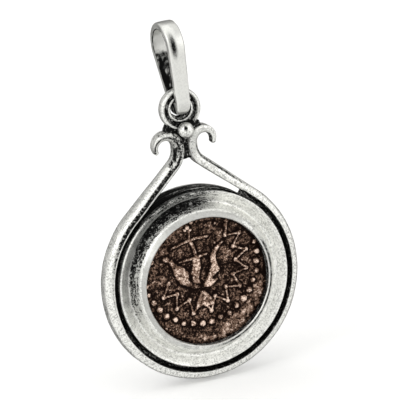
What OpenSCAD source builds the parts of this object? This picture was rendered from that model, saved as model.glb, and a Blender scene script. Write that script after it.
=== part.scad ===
// Coin pendant: a silver cup and bezel round an old bronze coin, a wire frame soldered round the
// cup with its two ends curled outwards, an eye ring on top and a strip bail that hangs in it.
// Millimetres, +Z up, the coin faces -Y, the origin is the inside top of the bail.

/* [Coin] */

// Diameter of the struck coin
coin_d = 16.2; // [13:0.1:20]

// Thickness of the coin without its relief
coin_t = 1.6; // [1.2:0.1:2.2]

// Height of the relief over the field
relief = 0.22; // [0.12:0.02:0.34]

// Radius of the border of pellets struck on the coin
strike_r = 7.08; // [6:0.02:7.6]

// Sideways slip of the strike from the middle of the coin
strike_slip_x = -0.39; // [-0.8:0.01:0.6]

// Upward slip of the strike from the middle of the coin
strike_slip_z = 2.0; // [1:0.05:2.5]

// Number of pellets in the whole border
pellet_count = 38; // [30:1:42]

// Radius of a pellet of the border
pellet_r = 0.32; // [0.24:0.01:0.4]

// Width of the thin strokes in the relief
stroke_w = 0.17; // [0.12:0.01:0.26]

/* [Bezel] */

// How far the lip covers the edge of the coin
lip_cover = 0.56; // [0.3:0.02:0.8]

// Width of the bezel from its opening to its outer edge
bezel_w = 2.87; // [2.6:0.01:3.6]

// Width of the lip that surrounds the opening
lip_w = 0.93; // [0.7:0.01:1.1]

// Fall of the lip from its inner to its outer side
lip_fall = 0.89; // [0.7:0.01:1]

// Width of the steep step outside the lip
step_w = 0.48; // [0.35:0.01:0.6]

// Height of the lip over the outer edge of the bezel
lip_rise = 1.22; // [1.1:0.01:1.4]

// Depth of the valley at the foot of the step below the outer edge
valley = 0.8; // [0.6:0.01:0.9]

// Thickness of the outer edge of the bezel
rim_t = 1.15; // [1.1:0.01:1.4]

// Depth of the face of the coin below the top of the lip
coin_sink = 1; // [0.9:0.01:1.2]

/* [Cup] */

// Distance from the middle plane of the wire to the outer edge of the bezel
edge_lift = 1.44; // [1.3:0.01:1.6]

// Thickness of the back of the cup
floor_t = 2.4; // [2:0.05:3]

// Depth of the plain recess in the back of the cup
recess_d = 1.2; // [0.6:0.05:1.6]

// Width of the edge left round the recess in the back
recess_edge_w = 2.2; // [1.5:0.1:4]

// How far the wall of the cup stands outside the outer edge of the bezel
cup_lap = 0.1; // [0.04:0.01:0.15]

// How far the wall of the bezel is set in behind its outer edge
undercut = 0.14; // [0.08:0.01:0.2]

/* [Wire frame] */

// Width of the wire seen from the front
wire_w = 1; // [0.9:0.01:1.2]

// Depth of the wire from front to back where it runs round the cup
wire_d = 2.6; // [2.2:0.05:2.9]

// Width of the arms seen from the front where they meet
arm_w = 1.2; // [1:0.01:1.3]

// Depth of the arms from front to back where they meet
arm_d = 2.1; // [1.9:0.05:2.3]

// Rounding of the outer edges of the wire
wire_round = 0.78; // [0.5:0.01:0.78]

// Rounding of the edges of the wire on the side of the cup
wire_edge_r = 0.12; // [0.06:0.01:0.12]

// Gap between the outer edge of the bezel and the wire
wire_gap = 0.55; // [0.4:0.01:0.8]

// Angle from the top at which the arms leave the round
arm_angle = 40.5; // [38:0.5:43]

// Depth of the solder that joins the wire to the cup
solder_d = 0.8; // [0.6:0.05:1]

/* [Curls] */

// Inner radius of a curl
curl_r = 0.9; // [0.8:0.01:1.1]

// Inner radius of the bend between an arm and its curl
bend_r = 1.9; // [1.6:0.05:2.2]

// Half of the distance between the two bends at their hollow sides
bend_x = 1.5; // [1.4:0.02:1.7]

// Height of the middle of a curl over the top of the bend below it
curl_rise = 0.35; // [0.2:0.01:0.5]

// Width of the tip of a curl
tip_w = 0.5; // [0.42:0.02:0.7]

// Depth of the tip of a curl
tip_d = 1.15; // [0.9:0.05:1.3]

// How far below level the tip of a curl ends, as an angle
tip_angle = 17; // [5:1:25]

/* [Eye ring] */

// Radius of the hole of the eye ring
eye_hole_r = 1.22; // [1.2:0.01:1.35]

// Width of the inner band of the eye ring
eye_inner_w = 0.34; // [0.3:0.01:0.44]

// Width of the sunk ring between the two bands of the eye ring
eye_groove_w = 0.27; // [0.15:0.01:0.35]

// Width of the outer band of the eye ring
eye_outer_w = 0.62; // [0.54:0.01:0.72]

// Depth of the outer band of the eye ring
eye_outer_d = 1.3; // [1.1:0.01:1.32]

// Depth of the inner band of the eye ring
eye_inner_d = 0.9; // [0.7:0.01:0.94]

// Height of the middle of the eye ring over the fork of the two arms
eye_rise = 5.73; // [5.6:0.01:6]

// How high the solder stands in the bottom of the hole of the eye ring
eye_fill = 0.45; // [0.2:0.05:0.5]

// Diameter of the ball
ball_d = 1.8; // [1.6:0.05:2]

/* [Bail] */

// Width of the bail at its top
bail_w = 1.98; // [1.6:0.02:2.1]

// Width of the bail where it passes through the eye ring
bail_foot_w = 1.6; // [1.4:0.02:1.64]

// Thickness of the strip of the bail
bail_t = 0.85; // [0.7:0.01:1]

// Thickness of the foot of the bail, where the ends of the strip lap
bail_foot_t = 1.5; // [1.2:0.01:1.52]

// Inner radius of the top of the bail
bail_top_r = 2.12; // [1.8:0.01:2.13]

// Inner radius of the foot of the bail
bail_foot_r = 0.9; // [0.9:0.01:0.95]

// Distance between the middles of the top and the foot of the bail
bail_l = 5.55; // [5.2:0.05:6.4]

// Backward lean of the bail
bail_lean = 13; // [0:1:14]

/* [Fit] */

// Clearance between pieces that are fitted to each other
fit_gap = 0.05; // [0.04:0.01:0.08]

// Clearance between the foot of the bail and the eye ring
ring_gap = 0.12; // [0.1:0.01:0.15]

/* [Hidden] */

// Radii of the round pieces
opening_r = coin_d / 2 - lip_cover;
bezel_r = opening_r + bezel_w;
pocket_r = coin_d / 2 + fit_gap;
cup_r = bezel_r + cup_lap;
wire_in_r = bezel_r + wire_gap;
wire_mid_r = wire_in_r + wire_w / 2;
wire_out_r = wire_in_r + wire_w;
eye_out_r = eye_hole_r + eye_inner_w + eye_groove_w + eye_outer_w;

// Heights towards the front, from the middle plane of the wire
lip_top = edge_lift + lip_rise;
lip_foot = lip_top - lip_fall;
bezel_back = edge_lift - rim_t;
cup_top = bezel_back - fit_gap;
coin_face = lip_top - coin_sink;
coin_back = coin_face - coin_t;
cup_floor = coin_back - fit_gap;
cup_back = cup_floor - floor_t;
band_w = bezel_w - lip_w - step_w;
back_round = 0.4;
solder_front = -0.3;
web_reach = 4;
web_sink = 0.3;

// The arms, the bends and the curls, seen from the front with the middle of the coin at 0, 0
fork_z = wire_in_r / cos(arm_angle);
eye_z = fork_z + eye_rise;
bend_turn = 90 - arm_angle;
bend_in = wire_out_r + arm_w - wire_w + bend_r;
bend_c = [bend_x + bend_r, (bend_in - (bend_x + bend_r) * sin(arm_angle)) / cos(arm_angle)];
curl_c = [bend_x + curl_r, bend_c[1] + curl_rise];
curl_turn = 180 + tip_angle;
fork_half_d = arm_d / 2 - 0.5;
ball_c = [0, -fork_half_d - 0.4 * ball_d, eye_z - eye_out_r + 0.15];

// How an arm is drawn: the steps of its bend, its curl and its tip, the points of a corner, how
// much thinner it is than the wire that it starts in, how far it reaches into that wire, and the
// share of the curl at which it starts to taper
bend_steps = 8;
curl_steps = 20;
tip_steps = 4;
corner_steps = 5;
arm_inset = 0.03;
arm_root = 0.3;
taper_from = 0.2;
arm_start = wire_out_r * [sin(arm_angle), cos(arm_angle)] + arm_root * [cos(arm_angle), -sin(arm_angle)];

// The bail and the place where it hangs
hole_edge_z = sqrt(pow(eye_hole_r, 2) - pow(bail_foot_w / 2, 2));
pivot_over_eye = hole_edge_z - ring_gap + bail_foot_r;
foot_low = -bail_foot_r - bail_foot_t;
foot_slim = 0.2;
pivot_y = -bail_l * sin(bail_lean);
pivot_z = -bail_l * cos(bail_lean) - bail_top_r;
drop_z = pivot_z - pivot_over_eye - eye_z;

// Strike on the coin, all of it in shares of the radius of its border
strike = [strike_slip_x, strike_slip_z];
left_horn = [
    [-0.67, 0.21],
    [-0.58, 0.25],
    [-0.49, 0.19],
    [-0.40, 0.08],
    [-0.26, -0.02],
    [-0.21, -0.12],
    [-0.22, -0.23],
    [-0.13, -0.31],
    [-0.04, -0.37],
    [-0.13, -0.41],
    [-0.26, -0.34],
    [-0.40, -0.24],
    [-0.46, -0.13],
    [-0.49, 0.00],
    [-0.54, 0.12],
    [-0.61, 0.16]
];
right_horn = [
    [0.46, 0.30],
    [0.35, 0.28],
    [0.25, 0.20],
    [0.18, 0.08],
    [0.17, -0.05],
    [0.12, -0.17],
    [0.08, -0.26],
    [0.01, -0.35],
    [0.03, -0.40],
    [0.13, -0.42],
    [0.28, -0.31],
    [0.19, -0.27],
    [0.33, -0.17],
    [0.30, -0.06],
    [0.29, 0.06],
    [0.34, 0.18]
];
staff_foot = [
    [-0.10, 0.14],
    [0.00, 0.13],
    [0.00, -0.10],
    [-0.05, -0.23],
    [-0.02, -0.33],
    [-0.12, -0.32],
    [-0.18, -0.25],
    [-0.15, 0.02]
];
staff_top = [
    [-0.17, 0.43],
    [-0.11, 0.43],
    [-0.05, 0.27],
    [-0.03, 0.12],
    [-0.08, 0.12],
    [-0.11, 0.28]
];
long_bar = [
    [-0.47, 0.37],
    [-0.13, 0.46],
    [0.17, 0.46],
    [0.17, 0.41],
    [-0.12, 0.41],
    [-0.46, 0.34]
];
short_bar = [
    [-0.35, 0.12],
    [-0.05, 0.15],
    [0.13, 0.16],
    [0.13, 0.13],
    [-0.05, 0.10],
    [-0.35, 0.09]
];
foot_wedge = [
    [0.00, -0.44],
    [0.08, -0.50],
    [0.18, -0.73],
    [-0.07, -0.72],
    [-0.19, -0.74],
    [-0.07, -0.50]
];
vine_in = 0.62;
vine_out = 0.82;
vine_start = -160;
vine_step = 11;
vine_corners = 20;
vine_dot_r = 1.35 * stroke_w;

$fn = 96;

// Band of the eye ring in section, from its inner radius outwards
module eye_band(r, w, d) {
    half = (d - w) / 2;
    translate([r, -half])
        square([w, 2 * half]);
    for (side = [-1, 1])
        translate([r + w / 2, side * half])
            circle(r = w / 2);
}

// The wire in section where it runs round the cup, its flat side on the side of the cup
module wire_section() {
    flat = wire_w - wire_round;
    translate([wire_in_r, 0]) {
        translate([0, wire_round - wire_d / 2])
            square([wire_w, wire_d - 2 * wire_round]);
        translate([0, wire_edge_r - wire_d / 2])
            square([flat, wire_d - 2 * wire_edge_r]);
        translate([wire_edge_r, -wire_d / 2])
            square([flat - wire_edge_r, wire_d]);
        for (side = [-1, 1]) {
            translate([wire_edge_r, side * (wire_d / 2 - wire_edge_r)])
                circle(r = wire_edge_r);
            translate([flat, side * (wire_d / 2 - wire_round)])
                circle(r = wire_round);
        }
    }
}

// Rectangle of a profile between two radii and two heights
module square_band(r0, r1, h0, h1) {
    translate([r0, h0])
        square([r1 - r0, h1 - h0]);
}

// Turns a profile of radius and height towards the front into a round piece
module round_piece() {
    rotate([90, 0, 0])
        rotate_extrude()
            children();
}

// Raises an outline seen from the front to a slab between two heights
module slab(from, to) {
    rotate([90, 0, 0])
        translate([0, 0, from])
            linear_extrude(height = to - from)
                children();
}

// Points of a section of the arm, all round it: w across, d deep, rounded by r_out on the hollow
// side and by r_in on the other, with 0 at the hollow side
function section_points(w, d, r_out, r_in) = [
    for (q = [0 : 3], k = [0 : corner_steps - 1])
        let (
            a = 90 * q + 90 * k / (corner_steps - 1),
            hollow = q == 0 || q == 3,
            r = hollow ? r_out : r_in,
            x = hollow ? -r_out : r_in - w,
            y = (q < 2 ? 1 : -1) * (d / 2 - r)
        )
        [x + r * cos(a), y + r * sin(a)]
];

// One station of the arm: its point on the hollow side, the angle that points into the hollow,
// how far it has tapered from the ring to the fork and from the curl to the tip, and its end size
function station(at, angle, fork, tip, end) =
    let (
        w = (wire_w - 2 * arm_inset + (arm_w - wire_w) * fork + (tip_w - arm_w) * tip) * end,
        d = (wire_d - 2 * arm_inset + (arm_d - wire_d) * fork + (tip_d - arm_d) * tip) * end,
        r_in = min(wire_edge_r + 0.2 * fork, 0.3 * w),
        r_out = min(wire_round, w - r_in - 0.03, 0.48 * d),
        back = arm_inset + (1 - end) * tip_w / 2
    )
    [
        for (p = section_points(w, d, r_out, r_in))
            let (a = p[0] - back)
            [at[0] + a * cos(angle), p[1], at[1] + a * sin(angle)]
    ];

function bend_point(angle) = bend_c - bend_r * [cos(angle), sin(angle)];
function curl_point(angle) = curl_c - curl_r * [cos(angle), sin(angle)];
function curl_taper(t) = max(0, (t - taper_from) / (1 - taper_from));

// Right arm with its bend and its tapered curl
module arm() {
    n = 4 * corner_steps;
    tip_turn = tip_w / (2 * curl_r + tip_w) * 180 / PI;
    rows = [
        station(arm_start, bend_turn, 0, 0, 1),
        for (i = [0 : bend_steps])
            let (angle = bend_turn * (1 - i / bend_steps))
            station(bend_point(angle), angle, 1, 0, 1),
        for (i = [0 : curl_steps])
            let (t = i / curl_steps)
            station(curl_point(-curl_turn * t), -curl_turn * t, 1, curl_taper(t), 1),
        for (i = [1 : tip_steps])
            let (a = 80 * i / tip_steps, angle = -curl_turn - tip_turn * sin(a))
            station(curl_point(angle), angle, 1, 1, cos(a))
    ];
    points = [for (row = rows) each row];
    sides = [
        for (i = [0 : len(rows) - 2], j = [0 : n - 1])
            let (k = (j + 1) % n)
            [(i + 1) * n + j, (i + 1) * n + k, i * n + k, i * n + j]
    ];
    first = [for (j = [0 : n - 1]) j];
    last = [for (j = [n - 1 : -1 : 0]) (len(rows) - 1) * n + j];
    polyhedron(points = points, faces = concat(sides, [first, last]), convexity = 6);
}

// Wire that runs round the cup from arm to arm
module wire_ring() {
    rotate([90, 0, 0])
        rotate([0, 0, 90 + arm_angle])
            rotate_extrude(angle = 360 - 2 * arm_angle)
                wire_section();
}

// Solder between the wire and the cup, set back from the front
module solder_web() {
    web_angle = arm_angle - web_reach;
    rotate([90, 0, 0])
        rotate([0, 0, 90 + web_angle])
            rotate_extrude(angle = 360 - 2 * web_angle)
                square_band(cup_r - web_sink, wire_mid_r, solder_front - solder_d, solder_front);
}

// Solder that fills the fork and holds the curls, the eye ring and the ball together
module solder_fork() {
    curl_top = curl_c[1] + curl_r;
    lap = 0.1;
    slab(-fork_half_d, fork_half_d)
        for (side = [0, 1])
            mirror([side, 0])
                polygon([
                    [-lap, fork_z + 0.1 * arm_w],
                    [0.6 * arm_w, fork_z - 0.1 * arm_w],
                    [bend_x - 0.5 * arm_w, bend_c[1]],
                    [curl_c[0] - 0.3 * curl_r, curl_top + 0.4 * arm_w],
                    [curl_c[0] + 0.1 * curl_r, curl_top + 0.6 * arm_w],
                    [curl_c[0] - 0.3 * curl_r, curl_top + arm_w],
                    [0.76 * eye_out_r, eye_z - 0.62 * eye_out_r],
                    [0.7 * eye_out_r, eye_z - 0.66 * eye_out_r],
                    [-lap, eye_z - 0.7 * eye_out_r]
                ]);
}

// Doubled eye ring that the bail hangs in, with solder in the bottom of its hole
module eye() {
    sunk_half_d = 0.25 * eye_inner_d;
    fill_r = eye_hole_r + eye_inner_w / 2;
    translate([0, 0, eye_z]) {
        round_piece() {
            eye_band(eye_hole_r, eye_inner_w, eye_inner_d);
            square_band(fill_r, eye_out_r - eye_outer_w / 2, -sunk_half_d, sunk_half_d);
            eye_band(eye_out_r - eye_outer_w, eye_outer_w, eye_outer_d);
        }
        slab(-sunk_half_d, sunk_half_d)
            intersection() {
                circle(r = fill_r);
                translate([-fill_r, -fill_r])
                    square([2 * fill_r, eye_fill + fill_r - eye_hole_r]);
            }
    }
}

// Round cup that holds the coin, with the plain recess in its back
module cup() {
    round_piece()
        difference() {
            union() {
                square_band(0, cup_r, cup_back + back_round, cup_top);
                square_band(0, cup_r - back_round, cup_back, cup_floor);
                translate([cup_r - back_round, cup_back + back_round])
                    circle(r = back_round);
            }
            square_band(-1, pocket_r, cup_floor, cup_top + 1);
            square_band(-1, cup_r - recess_edge_w, cup_back - 1, cup_back + recess_d);
        }
}

module bail() {
    color("#d9d9d4")
        translate([0, pivot_y, pivot_z])
            rotate([-bail_lean, 0, 0])
                intersection() {
                    rotate([90, 0, 90])
                        linear_extrude(height = 2 * bail_w, center = true)
                            bail_side();
                    rotate([90, 0, 0])
                        linear_extrude(height = 4 * (bail_top_r + bail_t), center = true)
                            bail_front();
                }
}

// Outline of two circles and the straight tangents between them
module teardrop(low_z, low_r, high_z, high_r) {
    lean = asin((high_r - low_r) / (high_z - low_z));
    translate([0, low_z])
        circle(r = low_r);
    translate([0, high_z])
        circle(r = high_r);
    polygon([
        [low_r * cos(lean), low_z - low_r * sin(lean)],
        [high_r * cos(lean), high_z - high_r * sin(lean)],
        [-high_r * cos(lean), high_z - high_r * sin(lean)],
        [-low_r * cos(lean), low_z - low_r * sin(lean)]
    ]);
}

// The loop of the bail seen from the side, its foot as thick as the two ends that lap there
module bail_side() {
    foot_out_r = bail_foot_r + bail_t - foot_slim;
    difference() {
        teardrop(foot_low + foot_out_r, foot_out_r, bail_l, bail_top_r + bail_t);
        teardrop(0, bail_foot_r, bail_l, bail_top_r);
    }
}

// The strip of the bail seen from the front, with its rounded foot
module bail_front() {
    bail_high = bail_l + bail_top_r + 2 * bail_t;
    translate([0, foot_low + bail_foot_w / 2])
        circle(r = bail_foot_w / 2);
    polygon([
        [-bail_foot_w / 2, foot_low + bail_foot_w / 2],
        [bail_foot_w / 2, foot_low + bail_foot_w / 2],
        [bail_w / 2, bail_l],
        [bail_w / 2, bail_high],
        [-bail_w / 2, bail_high],
        [-bail_w / 2, bail_l]
    ]);
}

// Places the drop below the bail, with the middle of the coin's plane at its own 0
module hung() {
    translate([0, pivot_y, drop_z])
        children();
}

module frame() {
    color("#c9c9c3")
        hung() {
            cup();
            solder_web();
            wire_ring();
            arm();
            mirror([1, 0, 0])
                arm();
            solder_fork();
            eye();
            translate(ball_c)
                sphere(r = ball_d / 2);
        }
}

// The bezel in section, from the wall of its opening out to its edge and back along its wall
module bezel_profile() {
    wall_r = bezel_r - undercut;
    step_foot = opening_r + lip_w + step_w;
    difference() {
        polygon([
            [opening_r, bezel_back],
            [opening_r, lip_top - 0.12],
            [opening_r + 0.1, lip_top],
            [opening_r + lip_w - 0.08, lip_foot + 0.06],
            [opening_r + lip_w, lip_foot - 0.06],
            [step_foot - 0.05, edge_lift - valley + 0.05],
            [step_foot + 0.06, edge_lift - valley],
            [step_foot + 0.55 * band_w, edge_lift - 0.5 * valley],
            [bezel_r - 0.2, edge_lift],
            [bezel_r - 0.05, edge_lift - 0.02],
            [bezel_r, edge_lift - 0.14],
            [bezel_r - 0.02, edge_lift - 0.3],
            [wall_r, edge_lift - 0.5],
            [wall_r, bezel_back]
        ]);
        square_band(-1, pocket_r, bezel_back - 1, coin_face + fit_gap);
    }
}

module bezel() {
    color("#dadad4")
        hung()
            round_piece()
                bezel_profile();
}

module coin() {
    color("#5a3d2c")
        hung() {
            round_piece()
                square_band(0, coin_d / 2, coin_back, coin_face);
            slab(coin_face - 0.1, coin_face + relief)
                intersection() {
                    translate(strike)
                        device();
                    circle(r = opening_r - 0.1);
                }
            pellets();
            vine_dots();
        }
}

// Traditional device of the coin: two horns, a staff with bars between them and a wedge below
module device() {
    for (shape = [left_horn, right_horn, staff_foot, staff_top, long_bar, short_bar, foot_wedge])
        polygon(shape * strike_r);
    vine();
}

function vine_share(i) = i % 2 == 0 ? vine_in : vine_out;
function vine_angle(i) = vine_start + i * vine_step;
function vine_point(i) = strike_r * vine_share(i) * [cos(vine_angle(i)), sin(vine_angle(i))];

// Zigzag vine that runs round between the device and the pellets
module vine() {
    for (i = [0 : vine_corners - 2])
        stroke(vine_point(i), vine_point(i + 1));
}

// Straight stroke from one point to another
module stroke(from, to) {
    way = to - from;
    translate(from)
        rotate(atan2(way[1], way[0]))
            translate([0, -stroke_w / 2])
                square([norm(way), stroke_w]);
}

// Round dots at the corners of the vine
module vine_dots() {
    for (i = [0 : vine_corners - 1])
        dome(strike + vine_point(i), vine_dot_r);
}

// Border of pellets, as much of it as the bezel leaves in sight
module pellets() {
    for (i = [0 : pellet_count - 1])
        dome(strike + strike_r * [cos(i * 360 / pellet_count), sin(i * 360 / pellet_count)], pellet_r);
}

// Dome that stands on the field of the coin, left out where it would reach the bezel
module dome(at, r) {
    if (norm(at) + r < opening_r - 0.1)
        translate([at[0], r - coin_face - relief, at[1]])
            sphere(r = r);
}

bail();
frame();
bezel();
coin();
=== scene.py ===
from math import asin, atan2, cos, degrees, hypot, pi, radians, sin

import bmesh
import bpy
import numpy as np
from mathutils import Matrix, Vector, noise


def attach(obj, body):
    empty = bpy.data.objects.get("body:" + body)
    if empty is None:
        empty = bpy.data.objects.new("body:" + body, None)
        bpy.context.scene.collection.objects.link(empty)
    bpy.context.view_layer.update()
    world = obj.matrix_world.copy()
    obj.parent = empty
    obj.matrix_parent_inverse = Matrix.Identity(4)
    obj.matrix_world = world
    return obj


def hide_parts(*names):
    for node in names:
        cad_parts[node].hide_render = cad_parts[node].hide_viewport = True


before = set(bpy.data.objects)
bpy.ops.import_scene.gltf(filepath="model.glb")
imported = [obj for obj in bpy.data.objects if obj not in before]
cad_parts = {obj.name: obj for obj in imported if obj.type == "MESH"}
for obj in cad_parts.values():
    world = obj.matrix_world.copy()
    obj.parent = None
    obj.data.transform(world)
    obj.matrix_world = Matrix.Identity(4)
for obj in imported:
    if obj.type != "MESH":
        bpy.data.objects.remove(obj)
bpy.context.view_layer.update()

bl_info = {
    "name": "Coin Pendant",
    "version": (1, 0, 0),
    "blender": (4, 5, 0),
    "location": "3D View > Sidebar > Pendant",
    "description": "Coin pendant: silver bail, wire frame, cup and bezel, and the worn bronze coin",
    "category": "Object",
}

MM = 0.001

# Places and sizes in millimetres, as the part's source gives them. A drop piece is made with the middle
# of the coin at 0, 0, 0 and the coin facing -Y, and hung() then moves it to its place below the bail.
BAIL_LEAN = radians(13)
BAIL_LENGTH = 5.55
BAIL_TOP_IN = 2.12
BAIL_THICK = 0.85
BAIL_FOOT_IN = 0.9
BAIL_FOOT_LOW = -2.4
BAIL_FOOT_OUT = 1.55
PIVOT = Vector((0, -BAIL_LENGTH * sin(BAIL_LEAN), -BAIL_LENGTH * cos(BAIL_LEAN) - BAIL_TOP_IN))
EYE_Z = 20.1434
EYE_BELOW_PIVOT = 1.7011
DROP = Vector((0, PIVOT.y, PIVOT.z - EYE_BELOW_PIVOT - EYE_Z))
ARM_ANGLE = radians(40.5)
BALL = Vector((0, -1.27, 17.843))
BALL_RADIUS = 0.9
POCKET_RADIUS = 8.15
COIN_FRONT = 1.66
COIN_BACK = 0.06


def clamp(value):
    """The value, kept between 0 and 1."""
    return min(1.0, max(0.0, value))


def smooth(low, high, value):
    """0 below low, 1 above high and a soft step between them."""
    t = clamp((value - low) / (high - low))
    return t * t * (3 - 2 * t)


def fade(low, high, value):
    """1 below low, 0 above high and a soft step between them."""
    return 1 - smooth(low, high, value)


def ripple(point, size, seed=0.0):
    """Slow unevenness between -1 and 1, whose lumps are about size millimetres wide."""
    return noise.noise(Vector(point) / size + Vector((seed, 2 * seed, 3 * seed)))


# Sizes and colours


def length(name, text, millimetres, low, high):
    """A length that the user can change, given in millimetres and kept in metres."""
    return bpy.props.FloatProperty(
        name=name, description=text, default=millimetres * MM, min=low * MM, max=high * MM,
        subtype="DISTANCE", unit="LENGTH", precision=5,
    )


def colour(name, text, value):
    """A colour that the user can change."""
    return bpy.props.FloatVectorProperty(
        name=name, description=text, default=value, min=0.0, max=1.0, size=3, subtype="COLOR"
    )


class PendantSizes(bpy.types.PropertyGroup):
    """Sizes of the pieces of the pendant"""

    bail_width: length("Bail width", "Width of the strip at the top of the bail", 1.98, 1.6, 2.1)
    bail_foot_width: length("Bail foot width", "Width of the strip in the eye ring", 1.6, 1.4, 1.64)
    wire_width: length("Wire width", "Width of the wire seen from the front", 1.0, 0.9, 1.2)
    wire_depth: length("Wire depth", "Depth of the wire from front to back", 2.6, 2.2, 2.9)
    wire_radius: length("Wire radius", "Outer radius of the wire round the cup", 11.96, 11.0, 13.0)
    opening_radius: length("Opening radius", "Radius of the opening of the bezel", 7.54, 6.5, 9.0)
    bezel_radius: length("Bezel radius", "Outer radius of the bezel", 10.41, 9.5, 12.0)
    coin_radius: length("Coin radius", "Radius of the struck coin", 8.1, 7.0, 9.5)
    relief: length("Relief", "Height of the relief of the coin", 0.22, 0.12, 0.34)
    pellets: bpy.props.IntProperty(
        name="Pellets", description="Number of pellets in the whole border", default=38, min=30, max=42
    )


class PendantLook(bpy.types.PropertyGroup):
    """Colours and finish of the pendant"""

    silver: colour("Silver", "Colour of the bright silver", (0.78, 0.78, 0.75))
    patina: colour("Patina", "Colour of the blackened silver", (0.004, 0.004, 0.004))
    bronze_ground: colour("Bronze ground", "Colour of the sunk field of the coin", (0.006, 0.0022, 0.0012))
    bronze: colour("Bronze", "Colour of the bronze between field and tops", (0.22, 0.135, 0.095))
    bronze_top: colour("Bronze tops", "Colour of the rubbed tops of the coin", (0.95, 0.75, 0.63))
    roughness: bpy.props.FloatProperty(
        name="Roughness", description="Roughness of the bright silver", default=0.3, min=0.1, max=0.8
    )


# Materials


class Nodes:
    """Adds and joins the nodes of one material or world."""

    def __init__(self, owner, shader="ShaderNodeBsdfPrincipled", output="ShaderNodeOutputMaterial"):
        owner.use_nodes = True
        self.owner = owner
        self.tree = owner.node_tree
        self.tree.nodes.clear()
        self.shader = self.add(shader)
        self.join(self.shader.outputs[0], self.add(output).inputs["Surface"])

    def add(self, kind, *inputs, **settings):
        """Adds a node with its settings, and fills its first sockets."""
        node = self.tree.nodes.new(kind)
        for key, value in settings.items():
            setattr(node, key, value)
        for socket, value in zip(node.inputs, inputs):
            self.fill(socket, value)
        return node

    def join(self, output, socket):
        self.tree.links.new(output, socket)

    def fill(self, socket, value):
        """Joins value to the socket if it is an output, and writes it there if it is a number."""
        if isinstance(value, bpy.types.NodeSocket):
            self.join(value, socket)
        else:
            socket.default_value = value

    def surface(self, values):
        """Fills the sockets of the shader, given by their names."""
        for key, value in values.items():
            self.fill(self.shader.inputs[key], value)

    def point(self):
        """Object coordinates in millimetres."""
        place = self.add("ShaderNodeMapping")
        place.inputs["Scale"].default_value = (1 / MM, 1 / MM, 1 / MM)
        self.join(self.add("ShaderNodeTexCoord").outputs["Object"], place.inputs["Vector"])
        return place.outputs["Vector"]

    def grain(self, point, size, detail=3.0, rough=0.6):
        """Noise between 0 and 1 whose grains are about size millimetres wide."""
        return self.add("ShaderNodeTexNoise", point, 0.0, 1 / size, detail, rough).outputs["Fac"]

    def math(self, operation, a, b=0.0):
        """Result of an operation on one or two values."""
        return self.add("ShaderNodeMath", a, b, operation=operation).outputs[0]

    def spread(self, value, low, high, to_low=0.0, to_high=1.0):
        """Maps low to high softly onto to_low to to_high."""
        ends = low, high, to_low, to_high
        return self.add("ShaderNodeMapRange", value, *ends, interpolation_type="SMOOTHSTEP").outputs["Result"]

    def mix(self, share, a, b, kind="RGBA", first=6, result=2):
        """Colour between a and b, or number where the kind and its sockets' places are given."""
        node = self.add("ShaderNodeMix", data_type=kind)
        for socket, value in zip((node.inputs["Factor"], *node.inputs[first:first + 2]), (share, a, b)):
            self.fill(socket, value)
        return node.outputs[result]

    def attribute(self, name):
        """Values that a piece's own points carry under a name."""
        return self.add("ShaderNodeAttribute", attribute_name=name).outputs["Fac"]

    def hollow(self, reach):
        """0 in the open and 1 deep in corners and grooves, within reach millimetres."""
        node = self.add("ShaderNodeAmbientOcclusion", samples=8)
        node.inputs["Distance"].default_value = reach * MM
        return self.math("SUBTRACT", 1.0, node.outputs["AO"])

    def bump(self, height, depth, before=None):
        """Normals roughened by a height, up to depth millimetres, on top of those of an earlier bump."""
        node = self.add("ShaderNodeBump")
        node.inputs["Distance"].default_value = depth * MM
        self.join(height, node.inputs["Height"])
        if before is not None:
            self.join(before, node.inputs["Normal"])
        return node.outputs["Normal"]


def rgba(value):
    """The colour with full alpha."""
    return (*value, 1.0)


def shade(value, amount):
    """The colour made darker or lighter."""
    return rgba([min(1.0, v * amount) for v in value])


def antique_silver(n, look):
    """Hand-worked silver: fine mottled grain, black patina and painted shade where the piece says, and black
    patina where it is hollow.
    """
    silver(n, look, n.point())


def satin_silver(n, look):
    """The same silver rubbed even, as the chain does it to the bail."""
    silver(n, look, n.point(), mottled=0.16, broken=0.5)


def turned_silver(n, look):
    """The same silver, with the faint rings that a burnisher leaves round the bezel and the cup."""
    point = n.point()
    middle = n.add("ShaderNodeVectorMath", point, DROP, operation="SUBTRACT")
    x, y, z = n.add("ShaderNodeSeparateXYZ", middle.outputs[0]).outputs
    radius = n.math("SQRT", n.math("ADD", n.math("MULTIPLY", x, x), n.math("MULTIPLY", z, z)))
    drawn_out = (n.math("MULTIPLY", way, 0.1) for way in (x, z))
    ring = n.add("ShaderNodeCombineXYZ", n.math("SUBTRACT", radius, y), *drawn_out)
    lines = n.grain(ring.outputs[0], 0.11, 3.0, 0.65)
    silver(n, look, point, lines, broken=4.4)


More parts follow.
